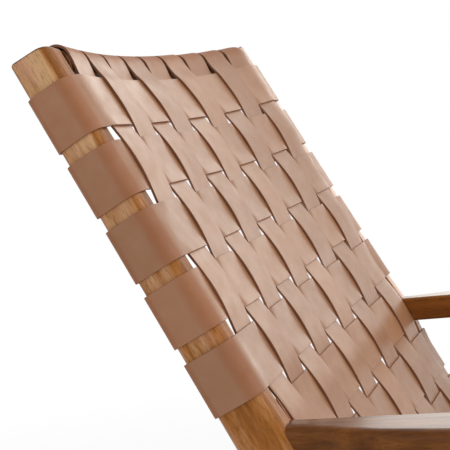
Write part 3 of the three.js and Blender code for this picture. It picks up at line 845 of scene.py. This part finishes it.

# %% [markdown]
# ## Leather
# The straps are smooth saddle leather. Up close it has fine pores, from a step away slow clouds of
# warmer and paler brown, and each strap was cut from another part of the hide, so its tone is a
# little its own. Bends are painted a brown that is partly real burnish and partly painted shade,
# cut edges are painted a darker brown as painted shade, and the underside is suede. All of that is
# a colour, a roughness and a height that change over the surface, so it goes into a node group.
# The shader stays in the material.

# %% Hide surface
PATCHES_IN_CLOUDS = 0.35
TONE_SWING = 0.07
SUEDE_DULL = 0.4
EDGE_DULL = 0.12
BEND_DULL = 0.25
PORE_DEPTH = 0.4
hide, hide_in, hide_out = start_group(
    "hide_surface",
    [("Vector", "vector"), ("Pale", "colour"), ("Warm", "colour"), ("Burnish", "colour"),
     ("Edge Dye", "colour"), ("Suede", "colour"),
     ("Tone", "value"), ("Bend", "value"), ("Cut Edge", "value"), ("Flesh Side", "value")],
    [("Colour", "colour"), ("Roughness", "value"), ("Height", "value")],
)
on_hide = hide_in["Vector"]
clouds = noise(hide, on_hide, scale=11, detail=4, roughness=0.55)
patches = noise(hide, on_hide, scale=55, detail=3, roughness=0.6)
cloudy = plus(hide, clouds, times(hide, patches, PATCHES_IN_CLOUDS))
share = remap(hide, cloudy, 0.45, 0.9, 0, 1)
face = blend_colours(hide, share, hide_in["Pale"], hide_in["Warm"])
# Bends are blended towards the burnish-and-shade brown: partly real burnish, partly painted shade of a
# bend's rounding.
painted_light_share = times(hide, hide_in["Bend"], remap(hide, patches, 0.3, 0.7, 0.75, 1))
face = blend_colours(hide, painted_light_share, face, hide_in["Burnish"])
shade = plus(hide, 1, times(hide, hide_in["Tone"], TONE_SWING))
face = put(hide, "HueSaturation", {"Color": face, "Value": shade}).outputs["Color"]
fleck = noise(hide, on_hide, scale=420, detail=4, roughness=0.7)
shade = remap(hide, fleck, 0.3, 0.7, 0.8, 1.15)
suede = put(hide, "HueSaturation", {"Color": hide_in["Suede"], "Value": shade}).outputs["Color"]
face = blend_colours(hide, hide_in["Flesh Side"], face, suede)
# Cut edges are painted a darker brown: painted shade, as the leather there isn't dyed.
face = blend_colours(hide, hide_in["Cut Edge"], face, hide_in["Edge Dye"])
hide.links.new(face, hide_out["Colour"])
gloss = remap(hide, patches, 0.3, 0.7, 0.28, 0.38)
for label, dull in (("Flesh Side", SUEDE_DULL), ("Cut Edge", EDGE_DULL), ("Bend", BEND_DULL)):
    gloss = plus(hide, gloss, times(hide, hide_in[label], dull))
hide.links.new(gloss, hide_out["Roughness"])
pores = put(hide, "TexVoronoi", {"Vector": on_hide, "Scale": 850}).outputs["Distance"]
creases = noise(hide, on_hide, scale=160, detail=5, roughness=0.6)
height = plus(hide, times(hide, pores, PORE_DEPTH), creases)
height = plus(hide, height, times(hide, fleck, hide_in["Flesh Side"]))
hide.links.new(height, hide_out["Height"])
print(f"hide surface of {len(hide.nodes)} nodes")

# %% [markdown]
# ## The leather's colours
# The five browns of the hide are set on the group's sockets, the values that every strap keeps
# with its points are linked in, and the group's three results go to the shader.

# %% Strap leather
LEATHER_BUMP = {"Strength": 0.12, "Distance": 0.4 * MM}
LEATHER_SPECULAR = 0.4
LEATHER_DYES = {
    "Pale": "AA7D5D", "Warm": "9C6B46", "Burnish": "985F3A", "Edge Dye": "8C5C44", "Suede": "B08A66",
}
NOTED = {"Tone": "tone", "Bend": "bend", "Cut Edge": "cut_edge", "Flesh Side": "flesh_side"}

strap_leather, tree, shader = start_material("strap_leather")
surface = put(tree, "Group", node_tree=hide)
tree.links.new(put(tree, "TexCoord").outputs["Object"], surface.inputs["Vector"])
for label, attribute in NOTED.items():
    value = put(tree, "Attribute", attribute_name=attribute).outputs["Fac"]
    tree.links.new(value, surface.inputs[label])
for label, code in LEATHER_DYES.items():
    surface.inputs[label].default_value = srgb(code)
dress(tree, shader, surface, LEATHER_BUMP)
shader.inputs["Specular IOR Level"].default_value = LEATHER_SPECULAR
for strap in straps:
    strap.data.materials.append(strap_leather)
print(f"leather on {len(straps)} straps")

# %% [markdown]
# ## Wood
# The frame is a honey-brown hardwood with a straight grain: slow bands of light and dark, thin
# growth lines and short dark pores, all drawn out along the member. Stretching the coordinates
# along Z before the noise textures gives exactly that. The bands, lines and streaks add up to one
# share that runs from the light brown over the dark one to the deep one.

# %% Straight grain
LINES_IN_FIGURE = 0.2
grain, grain_in, grain_out = start_group(
    "straight_grain",
    [("Vector", "vector"), ("Light", "colour"), ("Dark", "colour"), ("Deep", "colour"),
     ("Pore", "colour"), ("Flush", "colour"),
     ("Tone", "value"), ("Contrast", "value"), ("End Grain", "value")],
    [("Colour", "colour"), ("Roughness", "value"), ("Height", "value")],
)
long_way = stretched(grain, grain_in["Vector"], (1, 1, 0.07))
bands = noise(grain, long_way, scale=38, detail=4, roughness=0.6)
lines = put(
    grain, "TexWave",
    {"Vector": long_way, "Scale": 28, "Distortion": 5, "Detail": 3, "Detail Scale": 1.2},
).outputs["Fac"]
streak_way = stretched(grain, grain_in["Vector"], (1, 1, 0.16))
streaks = noise(grain, streak_way, scale=120, detail=5, roughness=0.6)
ridges = times(grain, lines, LINES_IN_FIGURE)
figure = remap(grain, plus(grain, ridges, bands), 0.3, 1, -0.5, 0.5)
figure = plus(grain, figure, remap(grain, streaks, 0.3, 0.7, -0.5, 0.5))
figure = times(grain, figure, grain_in["Contrast"])
tone_share = plus(grain, figure, grain_in["Tone"])
tone_share = plus(grain, tone_share, grain_in["End Grain"])
flush_way = stretched(grain, grain_in["Vector"], (1, 1, 0.4))
flush = noise(grain, flush_way, scale=45, detail=2, roughness=0.5)
flush_share = remap(grain, flush, 0.42, 0.62, 0, 0.75)
pale = blend_colours(grain, flush_share, grain_in["Light"], grain_in["Flush"])
body = blend_colours(grain, tone_share, pale, grain_in["Dark"])
body = blend_colours(grain, math_node(grain, "SUBTRACT", tone_share, 1), body, grain_in["Deep"])
pore_way = stretched(grain, grain_in["Vector"], (1, 1, 0.12))
pores = noise(grain, pore_way, scale=800, detail=2, roughness=0.6)
pore_mask = remap(grain, pores, 0.54, 0.69, 0, 0.5)
grain.links.new(blend_colours(grain, pore_mask, body, grain_in["Pore"]), grain_out["Colour"])
grain.links.new(remap(grain, bands, 0.3, 0.7, 0.36, 0.5), grain_out["Roughness"])
grain.links.new(math_node(grain, "SUBTRACT", ridges, pore_mask), grain_out["Height"])
print(f"straight grain of {len(grain.nodes)} nodes")

# %% [markdown]
# ## Oiled and raw wood
# The members aren't evenly brown. End grain soaked up more oil and is darker. High up, faces turned
# outwards are painted paler and the other faces darker, and faces turned inwards are painted darker,
# except on the arms, where they are painted paler; all of this is painted light and shade. All of
# that only shifts the share of dark wood. A satin oil finish lies over it, which is the coat of the
# shader and shows most at a flat angle. The rails under the straps have no oil, so they are dull,
# and their browns are darker, as painted shade.

# %% Wood materials
PORE_BROWN = "4A2A12"
WOOD_BUMP = {"Strength": 0.06, "Distance": 0.3 * MM}
WOOD_SPECULAR = 0.1
COAT_ROUGHNESS = 0.16


def wood(name, light, flush, dark, deep):
    """A wood of four browns, with its node tree and shader."""
    material, tree, shader = start_material(name)
    surface = put(tree, "Group", node_tree=grain)
    own = put(tree, "TexCoord").outputs
    tree.links.new(own["Object"], surface.inputs["Vector"])
    browns = {"Light": light, "Flush": flush, "Dark": dark, "Deep": deep, "Pore": PORE_BROWN}
    for label, code in browns.items():
        surface.inputs[label].default_value = srgb(code)
    along_grain = put(tree, "SeparateXYZ", {0: own["Normal"]}).outputs["Z"]
    end_share = remap(tree, math_node(tree, "ABSOLUTE", along_grain, 0), 0.3, 0.85, 0, 1.2)
    tree.links.new(end_share, surface.inputs["End Grain"])
    place = put(tree, "NewGeometry").outputs
    spot = put(tree, "SeparateXYZ", {0: place["Position"]}).outputs
    sideways = put(tree, "SeparateXYZ", {0: place["Normal"]}).outputs["X"]
    outward = times(tree, sideways, math_node(tree, "SIGN", spot["X"], 0))
    # Painted light and shade: above half a metre, faces turned outwards are painted paler and the
    # other faces darker.
    painted_light_share = remap(tree, outward, 0.75, 0.97, -0.35, 1)
    painted_light_high_up = times(tree, remap(tree, spot["Z"], 0.5, 0.8, 0, -0.9), painted_light_share)
    own_tone = put(tree, "Attribute", attribute_name="tone").outputs["Fac"]
    # Painted shade: faces turned inwards are painted darker, except on the arms, where they are
    # painted paler.
    facing_in = remap(tree, outward, -0.6, -0.1, 0.5, 0)
    inner = times(tree, facing_in, remap(tree, own_tone, LEG_TONE, ARM_TONE, 1, -0.6))
    shaded = plus(tree, painted_light_high_up, inner)
    tree.links.new(plus(tree, own_tone, shaded), surface.inputs["Tone"])
    contrast = remap(tree, own_tone, LEG_TONE, ARM_TONE, 1, 0.5)
    tree.links.new(contrast, surface.inputs["Contrast"])
    dress(tree, shader, surface, WOOD_BUMP)
    shader.inputs["Specular IOR Level"].default_value = WOOD_SPECULAR
    return material, tree, shader


oiled_wood, tree, shader = wood("oiled_wood", "DAAC7C", "D39C7E", "A5662A", "582F10")
facing = put(tree, "LayerWeight", {"Blend": 0.5}).outputs["Facing"]
tree.links.new(remap(tree, facing, 0.2, 0.72, 0.06, 0.6), shader.inputs["Coat Weight"])
shader.inputs["Coat Roughness"].default_value = COAT_ROUGHNESS
# The rails' darker browns are painted shade for the slots between the straps where they show.
raw_wood, _, _ = wood("raw_wood", "9A6A40", "8A5A3A", "6E4526", "4A2C16")
for member in members:
    member.data.materials.append(raw_wood if member.name.startswith(HIDDEN_RAILS) else oiled_wood)
print(f"wood on {len(members)} members")

# %% [markdown]
# ## Tacks and glides
# The tacks are darkened brass: metal, with tarnish that makes it duller and browner in patches.
# The glides under the feet are dark moulded rubber with scuffs. Both are small, so one noise
# pattern each is enough.

# %% Small materials
SPECKLE_BUMP = {"Strength": 0.1, "Distance": 0.2 * MM}


def speckled(name, first, second, scale, rough_low, rough_high):
    """A plain material whose colour and roughness vary with one noise pattern."""
    material, tree, shader = start_material(name)
    own = put(tree, "TexCoord").outputs["Object"]
    fleck = noise(tree, own, scale, detail=4, roughness=0.6)
    share = remap(tree, fleck, 0.35, 0.65, 0, 1)
    tree.links.new(blend_colours(tree, share, srgb(first), srgb(second)), shader.inputs["Base Color"])
    tree.links.new(remap(tree, fleck, 0.3, 0.7, rough_low, rough_high), shader.inputs["Roughness"])
    bump = put(tree, "Bump", {"Height": fleck, **SPECKLE_BUMP})
    tree.links.new(bump.outputs["Normal"], shader.inputs["Normal"])
    return material, shader


old_brass, brass_shader = speckled("old_brass", "A07C3E", "5E4422", 700, 0.3, 0.5)
brass_shader.inputs["Metallic"].default_value = 1.0
for piece in tack_pieces:
    piece.data.materials.append(old_brass)
glide_rubber, _ = speckled("glide_rubber", "2B2724", "3A3531", 500, 0.6, 0.85)
for end in ("front", "rear"):
    for side, _ in SIDES:
        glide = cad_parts[f"glide_{end}_{side}"].data
        glide.materials.clear()
        glide.materials.append(glide_rubber)
print("tacks and glides painted")

# %% [markdown]
# ## A white studio
# The chair stands in a white studio. A white backdrop could be lit until it burns out, but that
# light would spill on the chair. Here the world is white only for the camera and for reflections,
# and lights the chair at a plainer level. The floor is treated the same way but keeps part of its
# own shading near the chair, so the chair's shadow stays.

# %% Floor and world
WHITE = (1, 1, 1, 1)
FLOOR_HALF = 9.0
FLOOR_GREY = (0.82, 0.82, 0.82, 1)
FLOOR_ROUGHNESS = 0.9
AMBIENT = 0.5
NEAR_GLOW = 0.72
FADE_FROM = 0.7
FADE_TO = 1.9


def seen_directly(tree):
    """1 for rays from the camera, a reflection or a transmission, and 0 for the light itself."""
    path = put(tree, "LightPath").outputs
    mirror = math_node(tree, "MAXIMUM", path["Is Glossy Ray"], path["Is Transmission Ray"])
    return math_node(tree, "MAXIMUM", path["Is Camera Ray"], mirror)


floor_mesh = bpy.data.meshes.new("floor")
floor_mesh.from_pydata([(-1, -1, 0), (1, -1, 0), (1, 1, 0), (-1, 1, 0)], [], [(0, 1, 2, 3)])
floor_mesh.transform(Matrix.Scale(FLOOR_HALF, 4))
floor = bpy.data.objects.new("floor", floor_mesh)
bpy.context.scene.collection.objects.link(floor)
floor_paint, tree, shader = start_material("floor_paint")
shader.inputs["Base Color"].default_value = FLOOR_GREY
shader.inputs["Roughness"].default_value = FLOOR_ROUGHNESS
glow = put(tree, "Emission", {"Color": WHITE, "Strength": 1.0})
spot = put(tree, "NewGeometry").outputs["Position"]
distance = put(tree, "VectorMath", {0: spot}, operation="LENGTH").outputs["Value"]
glow_share = remap(tree, distance, FADE_FROM, FADE_TO, NEAR_GLOW, 1)
factor = times(tree, seen_directly(tree), glow_share)
mixed = put(tree, "MixShader", {0: factor, 1: shader.outputs[0], 2: glow.outputs[0]})
tree.links.new(mixed.outputs[0], tree.nodes["Material Output"].inputs["Surface"])
floor_mesh.materials.append(floor_paint)

world = bpy.data.worlds.new("white_studio")
bpy.context.scene.world = world
world.use_nodes = True
tree = world.node_tree
ambient = tree.nodes["Background"]
ambient.inputs["Color"].default_value = WHITE
ambient.inputs["Strength"].default_value = AMBIENT
white = put(tree, "Background", {"Color": WHITE, "Strength": 1.0})
shares = {0: seen_directly(tree), 1: ambient.outputs[0], 2: white.outputs[0]}
mixed = put(tree, "MixShader", shares)
tree.links.new(mixed.outputs[0], tree.nodes["World Output"].inputs["Surface"])
print(f"floor {2 * FLOOR_HALF:.0f} m across, ambient light {AMBIENT}")

# %% [markdown]
# ## Three soft lamps
# A large key lamp stands in front of the chair and above it. A warm panel on the sitter's left
# gives the straps their sheen: it stands where the near columns mirror it towards the camera, and
# is rolled to lie along their reflection. A weak, cooler fill lights the near side.

# %% Lamps
CHEST = (0, 0.2, 0.6)
NEUTRAL = (1, 1, 1)


def soft_lamp(name, spot, width, height, power, colour=NEUTRAL, roll=0):
    """A rectangular soft box aimed at the chair's back, rolled by an angle in degrees."""
    data = bpy.data.lights.new(name, "AREA")
    data.shape = "RECTANGLE"
    data.size, data.size_y = width, height
    data.energy = power
    data.color = colour
    lamp = bpy.data.objects.new(name, data)
    bpy.context.scene.collection.objects.link(lamp)
    lamp.location = spot
    aim = (Vector(CHEST) - Vector(spot)).to_track_quat("-Z", "Y").to_matrix()
    lamp.rotation_euler = (aim @ Matrix.Rotation(math.radians(roll), 3, "Z")).to_euler()
    return lamp


lamps = [
    soft_lamp("key", spot=(0.3, -2.4, 2.4), width=3.4, height=3.4, power=62),
    soft_lamp("panel", spot=(2.7, 0.18, 1.05), width=1.15, height=1.6, power=10,
              colour=(1, 0.95, 0.87), roll=-30),
    soft_lamp("fill", spot=(-2.5, 1.0, 1.0), width=1.8, height=1.8, power=8.5,
              colour=(0.94, 0.95, 1)),
]
print(f"{len(lamps)} soft lamps of {sum(lamp.data.energy for lamp in lamps):.1f} W")

# %% [markdown]
# ## The camera
# The chair is seen close up from its right side, level with the top of the back. The camera's
# place, turn and focal length were worked out from the corners of the straps, so they are given
# in the back's own directions: across, down from the first row's upper edge, and into the back.
# The picture's centre isn't where the camera points, as in a photograph that was cropped, so the
# lens is shifted by the same amount.

# %% Camera
IMAGE_SIZE = 450
FOCAL_PIXELS = 1174.97
POINTED_AT = (187.85, 128.44)
SENSOR = 36.0
EYE_ACROSS = -1.16572
EYE_DOWN = 0.22457
EYE_FRONT = 0.38585
VIEW_RIGHT = Vector((0.3537, 0.516, -0.7802))
VIEW_DOWN = Vector((-0.0648, 0.8456, 0.5299))
VIEW_AHEAD = Vector((0.9331, -0.1369, 0.3325))

camera_data = bpy.data.cameras.new("camera")
camera_data.sensor_width = SENSOR
camera_data.lens = FOCAL_PIXELS / IMAGE_SIZE * SENSOR
camera_data.shift_x = 0.5 - POINTED_AT[0] / IMAGE_SIZE
camera_data.shift_y = POINTED_AT[1] / IMAGE_SIZE - 0.5
camera = bpy.data.objects.new("camera", camera_data)
bpy.context.scene.collection.objects.link(camera)
row_top = back.first_row + STRAP_WIDTH / 2
panel_axes = Matrix(((1, 0, 0), (0, -1, 0), (0, 0, -1)))
turn = back.tilt.to_3x3() @ panel_axes
eye = back.tilt @ Vector((EYE_ACROSS, row_top - EYE_DOWN, EYE_FRONT))
axes = [(turn @ axis).normalized() for axis in (VIEW_RIGHT, -VIEW_DOWN, -VIEW_AHEAD)]
camera.matrix_world = Matrix.Translation(eye) @ Matrix(axes).transposed().to_4x4()
bpy.context.scene.camera = camera
bpy.context.scene.view_settings.view_transform = "Standard"
print(f"camera at {[round(c, 3) for c in camera.location]}")

# %% [markdown]
# ## Update the scene
# The view layer is updated, so that every piece's place is current.

# %% Update
bpy.context.view_layer.update()
